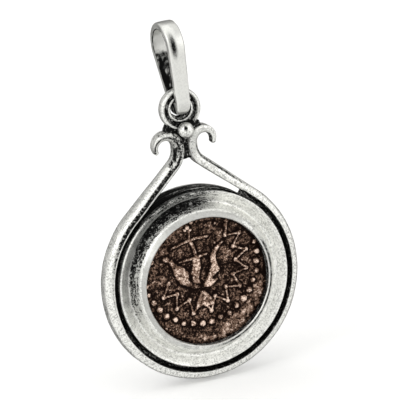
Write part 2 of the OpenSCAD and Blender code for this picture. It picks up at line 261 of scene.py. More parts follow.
def silver(n, look, point, lines=None, mottled=1.0, broken=3.4):
    """Joins up a silver, by how mottled it is, how broken its patina lies and what turned lines it has."""
    fine, speck, cloud = n.grain(point, 0.34, 3.0, 0.75), n.grain(point, 0.17, 2.0), n.grain(point, 1.5)
    both = n.math("ADD", n.math("MULTIPLY", fine, 0.5), n.math("MULTIPLY", speck, 0.5))
    if lines is not None:
        both = n.math("ADD", n.math("MULTIPLY", both, 0.6), n.math("MULTIPLY", lines, 0.4))
    hollow = n.spread(n.hollow(0.6), 0.45, 0.9)
    # The piece's black share holds patina and painted shade alike.
    laid = n.math("MAXIMUM", n.attribute("patina"), hollow)
    gaps = n.math("MULTIPLY", n.math("SUBTRACT", both, 0.5), n.spread(laid, 0.0, 0.35, 0.4, broken))
    dark = n.spread(n.math("ADD", laid, gaps), 0.2, 0.8)
    if lines is not None:
        scratch = n.math("MULTIPLY", n.spread(lines, 0.6, 0.7), 0.35)
        dark = n.math("MAXIMUM", dark, n.math("MULTIPLY", scratch, n.spread(cloud, 0.45, 0.6)))
    low, high, clouded = (shade(look.silver, 1 + by * mottled) for by in (-0.42, 0.28, 0.15))
    bright = n.mix(n.spread(both, 0.38, 0.57), low, high)
    bright = n.mix(n.spread(cloud, 0.35, 0.7), bright, n.mix(0.35, bright, clouded))
    # Painted shade: where the piece's black share is below 0, the silver is greyed to dim the key lamp's
    # highlight on the bezel's lip and the bail's crown.
    film = n.spread(n.attribute("patina"), -0.3, 0.0, 0.75, 0.0)
    bright = n.mix(film, bright, shade(look.silver, 0.55))
    bare = n.spread(cloud, 0.3, 0.7, look.roughness, look.roughness + 0.12)
    n.surface({
        "Base Color": n.mix(dark, bright, rgba(look.patina)),
        "Metallic": n.spread(dark, 0.0, 1.0, 0.85, 0.1),
        "Roughness": n.mix(dark, bare, 0.55, "FLOAT", 2, 0),
        "Specular IOR Level": 0.03,
        "Normal": n.bump(both, 0.01 + 0.03 * mottled, n.bump(cloud, 0.06)),
    })


def worn_bronze(n, look):
    """Old bronze: nearly black in the field, brown above it and rubbed bright on the tops."""
    point = n.point()
    fine, speck, cloud = n.grain(point, 0.32, 3.0, 0.8), n.grain(point, 0.13, 2.0), n.grain(point, 0.9)
    # The coin's height values also hold a painted shadow of the bezel round the rim.
    level = n.attribute("height")
    for grain, amount in ((fine, 1.5), (speck, 1.5), (cloud, 0.9)):
        level = n.math("ADD", level, n.math("MULTIPLY", n.math("SUBTRACT", grain, 0.5), amount))
    low = n.mix(n.spread(level, 0.02, 0.42), rgba(look.bronze_ground), rgba(look.bronze))
    n.surface({
        "Base Color": n.mix(n.spread(level, 0.42, 0.78), low, rgba(look.bronze_top)),
        "Metallic": n.spread(level, 0.3, 0.9, 0.0, 0.5),
        "Roughness": n.spread(fine, 0.3, 0.7, 0.45, 0.65),
        "Specular IOR Level": 0.04,
        "Normal": n.bump(fine, 0.09, n.bump(speck, 0.04)),
    })


def material(fill_in):
    """The material that one of the functions above fills in, made when a piece first asks for it."""
    name = fill_in.__name__
    if name not in bpy.data.materials:
        fill_in(Nodes(bpy.data.materials.new(name)), bpy.context.scene.pendant_look)
    return bpy.data.materials[name]


# Shared shaping


def hung(bm, at=(0, 0, 0)):
    """Takes a drop piece, made round 0, 0, 0, to its place on the drop below the bail, in metres."""
    bmesh.ops.translate(bm, verts=bm.verts, vec=DROP + Vector(at))
    bmesh.ops.scale(bm, verts=bm.verts, vec=(MM, MM, MM))


def face_out(bm):
    """Turns the normals of closed shapes outwards."""
    bmesh.ops.recalc_face_normals(bm, faces=bm.faces)


def mesh_of(name, bm):
    """Mesh of a finished shape, which is freed."""
    mesh = bpy.data.meshes.new(name)
    bm.to_mesh(mesh)
    bm.free()
    return mesh


def placed(name, data):
    """Object of a mesh, a lamp or the camera, put in the scene."""
    made = bpy.data.objects.new(name, data)
    bpy.context.scene.collection.objects.link(made)
    return made


def piece(name, bm, finish, body, *nodes, slot="silver"):
    """Makes the object of a finished shape, hangs it on the empty of the body that it rides on, and hides the
    parts of the model that it stands for.
    """
    face_out(bm)
    mesh = mesh_of(name, bm)
    mesh.shade_smooth()
    mesh.materials.append(material(finish))
    made = placed(name, mesh)
    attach(made, body)
    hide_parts(*nodes)


def outline(bm, points, soft=0.0, segments=3, closed=True):
    """Outline of (radius, height towards the front) points, with its corners rounded by soft."""
    corners = [bm.verts.new((r, -h, 0)) for r, h in points]
    for a, b in zip(corners, corners[1:] + corners[:1] * closed):
        bm.edges.new((a, b))
    if soft:
        bmesh.ops.bevel(
            bm, geom=corners, offset=soft, offset_type="OFFSET", segments=segments, profile=0.5,
            affect="VERTICES", material=-1, clamp_overlap=True,
        )


def turn(bm, steps, angle=2 * pi, start=0.0):
    """Spins what bm holds about the axis of the coin, from an angle that counts from the right."""
    bmesh.ops.rotate(bm, verts=bm.verts, cent=(0, 0, 0), matrix=Matrix.Rotation(start, 4, "Y"))
    full = abs(angle - 2 * pi) < 1e-6
    bmesh.ops.spin(
        bm, geom=bm.verts[:] + bm.edges[:], cent=(0, 0, 0), axis=(0, 1, 0), angle=angle, steps=steps,
        use_merge=full,
    )
    if full:
        bmesh.ops.remove_doubles(bm, verts=bm.verts, dist=1e-4)
    else:
        bmesh.ops.holes_fill(bm, edges=[e for e in bm.edges if e.is_boundary], sides=0)


def swept(bm, rows, closed=False, open_start=False):
    """Skin through sections, each a closed list of points. It ends in itself or in filled ends."""
    loops = []
    for row in rows:
        section = bmesh.ops.create_circle(bm, segments=len(row), radius=1)["verts"]
        for corner, at in zip(section, row):
            corner.co = at
        loops.append(list({edge for corner in section for edge in corner.link_edges}))
    for one, other in zip(loops, loops[1:] + loops[:1] * closed):
        bmesh.ops.bridge_loops(bm, edges=one + other)
    if not closed:
        for end in loops[-1:] if open_start else (loops[0], loops[-1]):
            bmesh.ops.edgeloop_fill(bm, edges=[edge for edge in end if edge.is_boundary])
    face_out(bm)


def add(bm, other):
    """Puts another piece's mesh into bm, as a shell of its own."""
    passing = mesh_of("passing", other)
    bm.from_mesh(passing)
    bpy.data.meshes.remove(passing)


def uneven(bm, amount, size, seed=0.0):
    """Gives a surface the slight waves of handwork: points move along their normals."""
    bm.normal_update()
    for vert in bm.verts:
        vert.co += vert.normal * (amount * ripple(vert.co, size, seed))


def lay_patina(bm, share):
    """Writes the share of black at each point, for patina and for painted shade: 0 to 1, or 0 to -0.3 where
    painted shade greys a highlight.
    """
    layer = bm.verts.layers.float.new("patina")
    for vert in bm.verts:
        vert[layer] = share(vert.co)


def clock(co):
    """Radius and direction of a point seen from the front, with the middle of the coin at 0."""
    return hypot(co.x, co.z), atan2(co.z, co.x)


def near_angle(co, middle, width):
    """1 near a direction in degrees, seen from the front, and 0 where it is more than width away."""
    away = abs((degrees(clock(co)[1]) - middle + 180) % 360 - 180)
    return fade(width * 0.45, width, away)


# Pieces


class PENDANT_OT_bail(bpy.types.Operator):
    """Make the strip bail that the chain runs through"""

    bl_idname = "pendant.bail"
    bl_label = "Bail"

    SOFT_OUTSIDE, SOFT_INSIDE, CROWN = 0.2, 0.1, 0.06
    ACROSS, DOWN_SIDE = (-0.66, -0.33, 0, 0.33, 0.66), (0.45, 0.3, 0.2)
    TIP_Z, TIP_DEEP, TIP_POWER = BAIL_FOOT_LOW + 0.8, 0.81, 2.6

    def execute(self, context):
        sizes = context.scene.pendant_sizes
        inner = self.teardrop(0, BAIL_FOOT_IN, BAIL_LENGTH, BAIL_TOP_IN)
        low, thick_top = BAIL_FOOT_LOW + BAIL_FOOT_OUT, BAIL_TOP_IN + BAIL_THICK
        outer = self.teardrop(low, BAIL_FOOT_OUT, BAIL_LENGTH, thick_top)
        foot, top = sizes.bail_foot_width / MM, sizes.bail_width / MM
        bm = bmesh.new()
        swept(bm, [self.section(a, b, foot, top) for a, b in zip(inner, outer)], closed=True)
        uneven(bm, 0.012, 1.1)
        self.work_inside(bm)
        lay_patina(bm, self.black)
        lean = Matrix.Rotation(-BAIL_LEAN, 4, "X")
        hang = Matrix.Scale(MM, 4) @ Matrix.Translation(PIVOT) @ lean
        bmesh.ops.transform(bm, verts=bm.verts, matrix=hang)
        piece("bail_strip", bm, satin_silver, "bail", "bail")
        return {"FINISHED"}

    @staticmethod
    def teardrop(low_z, low_r, high_z, high_r):
        """Points of two arcs and their tangents, in step with one another for any two sizes."""
        lean = asin((high_r - low_r) / (high_z - low_z))

        def arc(z, r, start, stop, steps):
            turns = [start + (stop - start) * i / steps for i in range(steps + 1)]
            return [Vector((0, r * cos(a), z + r * sin(a))) for a in turns]

        top = arc(high_z, high_r, -lean, pi + lean, 40)
        foot = arc(low_z, low_r, pi + lean, 2 * pi - lean, 24)
        front, rear = (
            [one.lerp(other, i / 16) for i in range(1, 16)]
            for one, other in ((top[-1], foot[0]), (foot[-1], top[0]))
        )
        return top + front + foot + rear

    def share_up(self, z):
        """Share of the way from the rounded tip of the foot up to the middle of the top."""
        return clamp((z - self.TIP_Z) / (BAIL_LENGTH - self.TIP_Z))

    def section(self, inside, outside, foot, top):
        """Section of the strip between an inner and an outer point: a soft-edged band, crowned outside."""
        out = (outside - inside).normalized()
        thick = (outside - inside).length
        half = (foot + (top - foot) * self.share_up(outside.z)) / 2
        places = [(thick, k * (half - self.SOFT_OUTSIDE)) for k in self.ACROSS]
        between = (
            [(depth, half) for depth in self.DOWN_SIDE],
            [(0, -k * (half - self.SOFT_INSIDE)) for k in self.ACROSS],
            [(depth, -half) for depth in reversed(self.DOWN_SIDE)],
            [],
        )
        for quarter, flat in enumerate(between):
            outer = quarter in (0, 3)
            soft = self.SOFT_OUTSIDE if outer else self.SOFT_INSIDE
            deep = thick - soft if outer else soft
            side = half - soft if quarter < 2 else soft - half
            for a in (radians(90 * quarter + 15 * i) for i in range(7)):
                places.append((deep + soft * cos(a), side + soft * sin(a)))
            places += flat
        points = []
        for depth, across in places:
            depth -= self.CROWN * (across / half) ** 2 * (depth > thick / 2)
            at = inside + out * depth + Vector((across, 0, 0))
            low = (self.TIP_Z - at.z) / self.TIP_DEEP
            if low > 0:
                at.x *= max(0.0, 1 - low**self.TIP_POWER) ** (1 / self.TIP_POWER)
            points.append(at)
        return points

    def black(self, co):
        """Black inside from the middle of the loop down, dark round the rims, and a soft streak outside;
        where nothing is black, a grey on the crown that is painted shade over its highlight.
        """
        if co.z > BAIL_LENGTH:
            depth = hypot(co.y, co.z - BAIL_LENGTH) - BAIL_TOP_IN
        elif co.z > -BAIL_FOOT_IN:
            depth = abs(co.y) - BAIL_FOOT_IN - (BAIL_TOP_IN - BAIL_FOOT_IN) * max(0.0, co.z) / BAIL_LENGTH
        else:
            depth = 1.0
        inside = fade(0.03, 0.12, depth)
        strokes = 0.45 * ripple((2 * co.x, co.y, 0.35 * co.z), 0.4, 25)
        low = fade(4.5, 5.5, co.z + 0.6 * ripple(co, 0.6, 21))
        black = inside * (0.28 + (0.6 + strokes) * low)
        half = 0.8 + 0.19 * self.share_up(co.z)
        black = max(black, 0.85 * fade(0.1, 0.2, depth) * smooth(half - 0.15, half - 0.02, abs(co.x)))
        if co.y < -1.6:
            middle = -0.34 - 0.05 * (co.z - 4.3)
            streak = hypot((co.x - middle) / 0.78, (co.z - 5.55) / 2.9)
            black = max(black, 0.86 * fade(0.0, 1.0, streak))
        outside = smooth(half - 0.2, half - 0.08, co.x) * smooth(0.45, 0.6, depth) * smooth(0.5, 2.5, co.z)
        foot = fade(-1.2, -0.4, co.z) * (0.82 + 0.7 * ripple(co, 0.45, 27))
        black = max(black, 0.6 * outside, foot * smooth(-0.75, -0.25, co.y + 0.3 * ripple(co, 0.6, 28)))
        # Painted shade: a slight grey on the top of the crown, which dims the key lamp's highlight there.
        return black if black > 0.01 else -0.14 * smooth(6.2, 7.2, co.z)

    def work_inside(self, bm):
        """Roughens the solder that is left inside the loop, low down."""
        for vert in bm.verts:
            rough = max(0.0, self.black(vert.co)) * (abs(vert.co.y) < 2.2)
            vert.co += vert.normal * (0.07 * rough * ripple(vert.co, 0.35, 4))


class PENDANT_OT_wire(bpy.types.Operator):
    """Make the wire that runs round the cup, with its two arms and curls"""

    bl_idname = "pendant.wire"
    bl_label = "Wire and curls"

    BEND, BEND_RADIUS = Vector((3.4, 15.587)), 1.9
    CURL, CURL_RADIUS, CURL_TURN = Vector((2.4, 15.937)), 0.9, radians(197)
    FORK_SIZE, TIP_SIZE, TIP_ROUND = (1.2, 2.1), (0.5, 1.15), 0.5 / 2.3
    FORK_Z, ROUND_STEPS = 16.2, 84
    INNER_ROUND, FORK_ROUND, OUTER_ROUND, TIP_BACK = 0.14, 0.2, 0.78, 0.25
    OUTWARD = Vector((sin(ARM_ANGLE), cos(ARM_ANGLE)))

    def execute(self, context):
        sizes = context.scene.pendant_sizes
        self.size = sizes.wire_width / MM, sizes.wire_depth / MM
        self.radius = sizes.wire_radius / MM
        self.start = self.radius * self.OUTWARD
        self.root = self.BEND - self.BEND_RADIUS * self.OUTWARD
        rows = []
        for share in (i / self.ROUND_STEPS for i in range(self.ROUND_STEPS + 1)):
            angle = (pi - ARM_ANGLE) * share - pi / 2
            rows.append(self.station(Vector((0, 0)), self.radius, angle, 0, 0, 1))
        bm = bmesh.new()
        swept(bm, rows + self.arm(), open_start=True)
        bmesh.ops.mirror(bm, geom=bm.verts[:] + bm.edges[:] + bm.faces[:], axis="X", merge_dist=1e-3)
        face_out(bm)
        lay_patina(bm, self.black)
        uneven(bm, 0.035, 2.4, 1)
        uneven(bm, 0.012, 0.7, 2)
        hung(bm)
        piece("wire_frame", bm, antique_silver, "drop", "frame")
        return {"FINISHED"}

    def station(self, middle, reach, angle, fork, tip, end):
        """Section of the wire, turned along an angle, with its rounded side reach away from a middle."""
        width, depth = (
            (own + (at_fork - own) * fork + (at_tip - at_fork) * tip) * end
            for own, at_fork, at_tip in zip(self.size, self.FORK_SIZE, self.TIP_SIZE)
        )
        inner = min(self.INNER_ROUND + self.FORK_ROUND * fork, 0.3 * width)
        outer = min(self.OUTER_ROUND, width - inner - 0.03, 0.48 * depth)
        back = (1 - end) * self.TIP_BACK
        way = Vector((cos(angle), 0, sin(angle)))
        at = Vector((middle.x, 0, middle.y)) + way * (reach - back)
        points = []
        for quarter in range(4):
            rounded = quarter in (0, 3)
            r = outer if rounded else inner
            for i in range(8):
                a = radians(90 * quarter + 90 * i / 7)
                x = (-outer if rounded else inner - width) + r * cos(a)
                y = (1 if quarter < 2 else -1) * (depth / 2 - r) + r * sin(a)
                points.append(at + way * x + Vector((0, y, 0)))
        return points

    def arm(self):
        """Sections of the right arm, from where it leaves the round to the tip of its curl."""
        leave = pi / 2 - ARM_ANGLE
        curl = self.CURL, -self.CURL_RADIUS
        rows = []
        for share in (i / 12 for i in range(1, 12)):
            at = self.start.lerp(self.root, share)
            rows.append(self.station(at, 0, leave, smooth(0, 1, share), 0, 1))
        for share in (i / 18 for i in range(19)):
            rows.append(self.station(self.BEND, -self.BEND_RADIUS, leave * (1 - share), 1, 0, 1))
        for share in (i / 40 for i in range(41)):
            tip = max(0.0, (share - 0.2) / 0.8)
            rows.append(self.station(*curl, -self.CURL_TURN * share, 1, tip, 1))
        for a in (radians(84 * i / 7) for i in range(1, 8)):
            angle = -self.CURL_TURN - self.TIP_ROUND * sin(a)
            rows.append(self.station(*curl, angle, 1, 1, cos(a)))
        return rows

    def inward(self, co):
        """How far a point lies from the rounded side, and how far up its arm: 0 to 1, and 2 in the curl."""
        at = Vector((abs(co.x), co.z))
        if at.y > self.BEND.y:
            over = at.y > self.CURL.y or at.x > self.CURL.x
            return ((at - self.CURL).length if over else self.CURL.x - at.x) - self.CURL_RADIUS, 2.0
        along = Vector((-self.OUTWARD.y, self.OUTWARD.x))
        share = (at - self.start).dot(along) / (self.root - self.start).dot(along)
        if share > 1:
            return (at - self.BEND).length - self.BEND_RADIUS, 1.0
        if share > 0:
            return (self.start.lerp(self.root, share) - at).dot(self.OUTWARD), share
        return self.radius - at.length, 0.0

    def black(self, co):
        """Black next to the cup and in the fork, with dark lines along the wire, most of all on the left; the
        band on the front of the round and arm at the left is a painted dark reflection, and the band on the
        right arm and the thin lines along the outer edges are painted shade.
        """
        deep, arm = self.inward(co)
        left, front, from_fork = co.x < 0, smooth(0.2, 0.5, -co.y), hypot(co.x, co.z - self.FORK_Z)
        shares = [
            (0.55 if left else 0.3) * fade(1.3, 2.6, from_fork),
            0.5 * smooth(-0.2, 0.3, co.y) * fade(2.0, 3.2, from_fork),
            0.95 * fade(0.1, 0.45, abs(co.x)) * (13 < co.z < 16.5),
        ]
        if arm < 1 and co.z < 9.5 and not (left and co.z > -4 and co.y < -1.15):
            shares.append(smooth(0.84, 0.92, deep))
        if left and arm < 1:
            # Painted dark reflection: a band on the inner part of the front face at the left, on the round
            # and the straight arm.
            edge = 0.5 - 0.3 * smooth(0, 9, co.z)
            band = smooth(edge, edge + 0.3, deep) * fade(0.79, 0.85, deep)
            shares.append(front * band * (0.5 * smooth(-6, 1, co.z) + 0.5 * smooth(2, 8, co.z)))
        elif left and arm < 2:
            broken = 0.9 + 0.7 * ripple((co.x, co.y, 0.6 * co.z), 0.5, 22)
            inner = smooth(0.5, 0.62, deep) * fade(0.79, 0.9, deep)
            shares.append(front * broken * max(fade(0.2, 0.45, deep), inner, 0.25))
        elif left:
            band = smooth(0.3, 0.42, deep) * fade(0.5, 0.66, deep) * smooth(-4.5, -3.9, co.x)
            rubbed = smooth(0.7, 0.85, deep) * smooth(-3.9, -2.9, co.x) * (0.75 + ripple(co, 0.35, 29))
            shares += [0.9 * front * band, 0.8 * front * rubbed]
        elif 0 < arm < 2:
            # Painted shade: a band along the upper side of the right arm and its bend, which faces away from
            # the light.
            band = smooth(0.08, 0.2, deep) * fade(0.3, 0.42, deep)
            shares.append(0.8 * front * band * smooth(8, 12, co.z))
        if arm == 2:
            shares.append((0.5 if left else 0.85) * fade(0.05, 0.16, deep) * (co.z > 15.2))
        elif left:
            # Painted shade: a thin dark line along the back of the outer edge at the left, where it makes the
            # outline.
            shares.append(0.7 * smooth(0.5, 0.6, co.y) * fade(0.9, 1.1, co.y) * fade(0.25, 0.45, deep))
        else:
            # Painted shade: a thin dark line along the middle of the outer edge at the right, where it makes
            # the outline.
            shares.append(0.35 * fade(0.03, 0.1, deep) * fade(0.6, 0.8, abs(co.y)) * smooth(-4, 4, co.z))
        return max(shares)


class PENDANT_OT_fork(bpy.types.Operator):
    """Make the solder in the fork, with the ball on its front"""

    bl_idname = "pendant.fork"
    bl_label = "Fork solder and ball"

    HALF_DEPTH, GRID, SMOOTHINGS = 0.62, 0.07, 8
    PIT, PIT_RADIUS, PIT_DEPTH = Vector((-0.26, -0.76, 0.42)), 0.22, 0.15
    HALF = (
        (0.72, 14.29), (0.95, 15.2), (1.0, 15.9), (2.13, 17.3), (2.5, 17.4), (2.15, 18.0), (1.95, 18.5),
        (1.75, 18.6),
    )

    def execute(self, context):
        bm = bmesh.new()
        points = [*self.HALF, *((-x, z) for x, z in reversed(self.HALF))]
        face = bm.faces.new([bm.verts.new((x, self.HALF_DEPTH, z)) for x, z in points])
        grown = bmesh.ops.extrude_face_region(bm, geom=[face])["geom"]
        front = [v for v in grown if isinstance(v, bmesh.types.BMVert)]
        bmesh.ops.translate(bm, verts=front, vec=(0, -2 * self.HALF_DEPTH, 0))
        face_out(bm)
        bm = self.melted(mesh_of("fork_solder", bm))
        lay_patina(bm, self.black_solder)
        hung(bm)
        piece("fork_solder", bm, antique_silver, "drop", "frame")

        bm = bmesh.new()
        bmesh.ops.create_uvsphere(bm, u_segments=48, v_segments=32, radius=BALL_RADIUS)
        for vert in bm.verts:
            sunk = self.PIT_DEPTH * fade(0.0, self.PIT_RADIUS, self.off_pit(vert.co))
            vert.co -= vert.co.normalized() * sunk
            vert.co *= 1 + 0.018 * ripple(vert.co, 0.6, 7)
        lay_patina(bm, self.black_ball)
        hung(bm, BALL)
        piece("fork_ball", bm, antique_silver, "drop", "frame")
        return {"FINISHED"}

    @staticmethod
    def black_solder(co):
        """Black in the middle, at the foot and round the ball, and broken in between."""
        strokes = ripple((co.x + co.z, co.y, 0.4 * (co.z - co.x)), 0.4, 23.0)
        side = abs(co.x)
        return max(
            0.58 + 0.8 * strokes, 0.9 * fade(0.25, 0.55, side), fade(14.5, 14.9, co.z),
            smooth(16.4, 17.1, co.z + 0.6 * side),
        )

    def off_pit(self, co):
        """Distance from the middle of the small pit that the torch left in the ball."""
        way = co.normalized() * BALL_RADIUS - self.PIT
        return hypot(way.x / 0.75, way.y, way.z / 1.4)

    def black_ball(self, co):
        """Black in the pit and where the ball meets the solder, and painted shade low down and along the
        upper left edge.
        """
        return max(
            # The share low down and the one along the upper left edge are painted shade.
            fade(0.12, 0.4, self.off_pit(co)), 0.35 * fade(-0.8, -0.2, co.z), smooth(0.1, 0.5, co.y),
            0.4 * smooth(0.35, 0.85, co.z - 0.4 * co.x),
        )

    def melted(self, lump):
        """Remeshes a lump finely and smooths it, so that it looks run in with heat."""
        holder = placed("melting", lump)
        remesh = holder.modifiers.new("run", "REMESH")
        remesh.mode = "VOXEL"
        remesh.voxel_size = self.GRID
        graph = bpy.context.evaluated_depsgraph_get()
        solid = bpy.data.meshes.new_from_object(holder.evaluated_get(graph))
        bpy.data.objects.remove(holder)
        bpy.data.meshes.remove(lump)
        bm = bmesh.new()
        bm.from_mesh(solid)
        bpy.data.meshes.remove(solid)
        for _ in range(self.SMOOTHINGS):
            bmesh.ops.smooth_vert(
                bm, verts=bm.verts, factor=0.5, use_axis_x=True, use_axis_y=True, use_axis_z=True
            )
        uneven(bm, 0.09, 0.45, 5)
        return bm


class PENDANT_OT_eye(bpy.types.Operator):
    """Make the doubled eye ring that the bail hangs in"""

    bl_idname = "pendant.eye"
    bl_label = "Eye ring"

    HALF_PROFILE = (
        (1.22, 0.3), (1.29, 0.42), (1.42, 0.45), (1.52, 0.38), (1.56, 0.14), (1.78, 0.12), (1.9, 0.24),
        (2.0, 0.47), (2.1, 0.62), (2.2, 0.65), (2.32, 0.59), (2.42, 0.42), (2.45, 0.2),
    )
    FILL_TOP, FILL_RADIUS, FILL_DEPTH, FILL_CREEP = -0.78, 1.36, 0.16, 0.34

    def execute(self, context):
        bm = bmesh.new()
        other_half = ((r, -h) for r, h in reversed(self.HALF_PROFILE))
        outline(bm, [*self.HALF_PROFILE, *other_half], 0.03, 2)
        turn(bm, 144)
        # Painted shade: a blackened disc fills the lower part of the hole and stands in for the shade there;
        # its top creeps up at the sides.
        fill = bmesh.new()
        radius, deep = self.FILL_RADIUS, self.FILL_DEPTH
        outline(fill, [(0, -deep), (radius, -deep), (radius, deep), (0, deep)])
        turn(fill, 64)
        cut = bmesh.ops.bisect_plane(
            fill, geom=fill.verts[:] + fill.edges[:] + fill.faces[:], plane_co=(0, 0, self.FILL_TOP),
            plane_no=(0, 0, 1), clear_outer=True,
        )["geom_cut"]
        bmesh.ops.holes_fill(fill, edges=[e for e in cut if isinstance(e, bmesh.types.BMEdge)], sides=0)
        for vert in fill.verts:
            if vert.co.z > self.FILL_TOP - 0.01:
                vert.co.z += self.FILL_CREEP * smooth(0.62, 1.0, abs(vert.co.x))
        add(bm, fill)
        face_out(bm)
        uneven(bm, 0.02, 0.9, 3)
        lay_patina(bm, self.black)
        hung(bm, (0, 0, EYE_Z))
        piece("eye_ring", bm, antique_silver, "drop", "frame")
        return {"FINISHED"}

    @staticmethod
    def black(co):
        """Black patina in the sunk ring and low down, where the solder runs in; black in the hole and on the
        disc in its lower part, which is painted shade.
        """
        r = clock(co)[0]
        sunk = smooth(1.5, 1.56, r) * (1 - smooth(1.86, 2.12, r) * 0.75) * fade(0.5, 0.66, abs(co.y))
        sunk *= 0.85 + 0.5 * ripple(co, 0.5, 24)
        low = 0.9 * fade(-2.3, -1.7, co.z - 0.25 * co.x) + 0.3 * smooth(0.0, -1.2, co.z) * (r < 2.2)
        # The black of the hole is painted shade.
        return min(1.0, max(sunk, fade(1.22, 1.32, r), low))


class PENDANT_OT_cup(bpy.types.Operator):
    """Make the cup that holds the coin, with the solder that joins it to the wire"""

    bl_idname = "pendant.cup"
    bl_label = "Cup"

    WALL_RADIUS, GROOVE_SIDE = 10.51, 0.06
    GROOVES = ((-1.5, -1.24, 10.49), (-0.9, -0.64, 10.48), (-0.28, 0.04, 10.47))
    WEB = ((10.21, -1.1), (11.4, -1.1), (11.4, -0.3), (10.21, -0.3))
    BACK = (
        (0, -1.19), (8.27, -1.19), (8.31, -1.24), (8.31, -2.36), (8.35, -2.39), (10.11, -2.39),
        (10.35, -2.32), (10.46, -2.2), (WALL_RADIUS, -1.99),
    )

    def execute(self, context):
        bm = bmesh.new()
        wall, side, pocket = self.WALL_RADIUS, self.GROOVE_SIDE, POCKET_RADIUS
        points = [*self.BACK]
        for low, high, r in self.GROOVES:
            points += [(wall, low), (r, low + side), (r, high - side), (wall, high)]
        front = [(wall, 0.2), (wall - 0.04, 0.24), (pocket + 0.04, 0.24), (pocket, 0.2)]
        outline(bm, [*points, *front, (pocket, 0.01), (0, 0.01)])
        turn(bm, 224)
        web = bmesh.new()
        outline(web, self.WEB)
        open_half = ARM_ANGLE - radians(4)
        turn(web, 200, 2 * pi - 2 * open_half, -pi / 2 + open_half)
        add(bm, web)
        uneven(bm, 0.012, 1.6, 6)
        lay_patina(bm, self.black)
        hung(bm)
        piece("cup", bm, turned_silver, "drop", "frame")
        return {"FINISHED"}

    @staticmethod
    def black(co):
        """Black round the wall, most of all at the upper left, with bare ridges on top and a bare collar."""
        r, thick = clock(co)[0], near_angle(co, 150, 66)
        wall = smooth(10.1, 10.3, r) * smooth(-2.3, -1.8, -co.y) * (1 + 0.7 * thick)
        broken = ripple((co.x, 6 * co.y, co.z), 2.4, 19)
        ridges = smooth(10.485, 10.505, r) * (0.25 + 0.5 * broken) * (co.z > 8)
        wall -= max(0.0, ridges) * smooth(-5.5, -1.5, co.x)
        collar = 0.85 * (1 - thick) * (10.44 < r < 10.6 and 0.0 < -co.y < 0.2)
        step = smooth(8.2, 8.3, r) * fade(8.31, 8.6, r) * (co.y > 1.2)
        return max(wall - collar, 0.8 * step)


class PENDANT_OT_bezel(bpy.types.Operator):
    """Make the bezel that is rubbed over the edge of the coin"""

    bl_idname = "pendant.bezel"
    bl_label = "Bezel"

    FROM_OPENING = (
        (0, 1.72), (0, 2.5), (0.12, 2.66), (0.22, 2.57), (0.31, 2.49), (0.4, 2.41), (0.5, 2.32), (0.6, 2.19),
        (0.86, 1.84), (0.97, 1.55), (1.34, 0.78), (1.5, 0.66), (1.7, 0.72), (1.85, 0.8), (2.0, 0.91),
        (2.12, 1.0), (2.25, 1.1), (2.38, 1.2), (2.52, 1.31), (2.66, 1.42),
    )
    FROM_EDGE = ((0.08, 1.44), (0, 1.3), (0.03, 1.1), (0.14, 0.94), (0.14, 0.29))
    SLOPE_FOOT, VALLEY, VALLEY_END, RIM = 8.45, 8.88, 9.5, 10.2
    UPPER_LEFT, LOWER_RIGHT = 140, -28

    def execute(self, context):
        sizes = context.scene.pendant_sizes
        opening, edge = sizes.opening_radius / MM, sizes.bezel_radius / MM
        bm = bmesh.new()
        front = [(opening + step, h) for step, h in self.FROM_OPENING]
        rim = [(edge - step, h) for step, h in self.FROM_EDGE]
        outline(bm, [*front, *rim, (POCKET_RADIUS, 0.29), (POCKET_RADIUS, 1.71)], 0.07, 4)
        turn(bm, 256)
        uneven(bm, 0.035, 2.2, 8)
        uneven(bm, 0.014, 0.6, 9)
        lay_patina(bm, self.black)
        hung(bm)
        piece("bezel_ring", bm, turned_silver, "drop", "bezel")
        return {"FINISHED"}

    def black(self, co):
        """Painted dark reflection on the step, in the valley and on the outer flat at the upper left; painted
        shade on the lip's slope at the lower right and a grey lip that dims its highlight; black patina at
        the foot and on the inner wall, with painted shade added to the wall at the lower right.
        """
        r, a = clock(co)
        a = degrees(a) % 360
        # Painted dark reflection: the step, the valley and the outer flat are darkened only at the upper
        # left, in broken streaks on the flat.
        end = self.VALLEY_END - 0.62 * smooth(95, 172, a)
        far = smooth(125, 150, a)
        fall = 0.56 + 0.2 * far + (0.44 - 0.2 * far) * smooth(self.SLOPE_FOOT, self.VALLEY, r)
        fall *= smooth(8.2 - 0.1 * far, self.SLOPE_FOOT, r) * fade(end, end + 0.3, r)
        valley = fall * (1.02 - 0.3 * smooth(130, 165, a)) * near_angle(co, self.UPPER_LEFT, 84)
        broken = 0.8 + 0.5 * ripple((r, 0, 0.2 * co.x), 0.16, 26)
        flat = 0.72 * broken * smooth(9.62, 9.8, r) * near_angle(co, 106, 44)
        # Painted shade on the outer slope of the lip at the lower right, which faces away from the light.
        step = 0.78 * smooth(7.7, 7.78, r) * fade(7.94, 8.42, r) * near_angle(co, self.LOWER_RIGHT, 78)
        foot = 1.5 * smooth(self.RIM, self.RIM + 0.15, r) * fade(0.95, 1.25, -co.y)
        # The inner wall of the opening: black patina all round, with painted shade added at the lower right.
        wall = fade(7.5, 7.62, r) * (0.55 + 0.6 * near_angle(co, self.LOWER_RIGHT, 100))
        # Painted shade on the lip: a grey that dims the key lamp's highlight, strongest at the upper left.
        film = -0.3 * fade(8.1, 8.3, r) * (0.45 + 0.55 * near_angle(co, self.UPPER_LEFT, 120))
        return max(valley, flat, step, foot, wall) or film


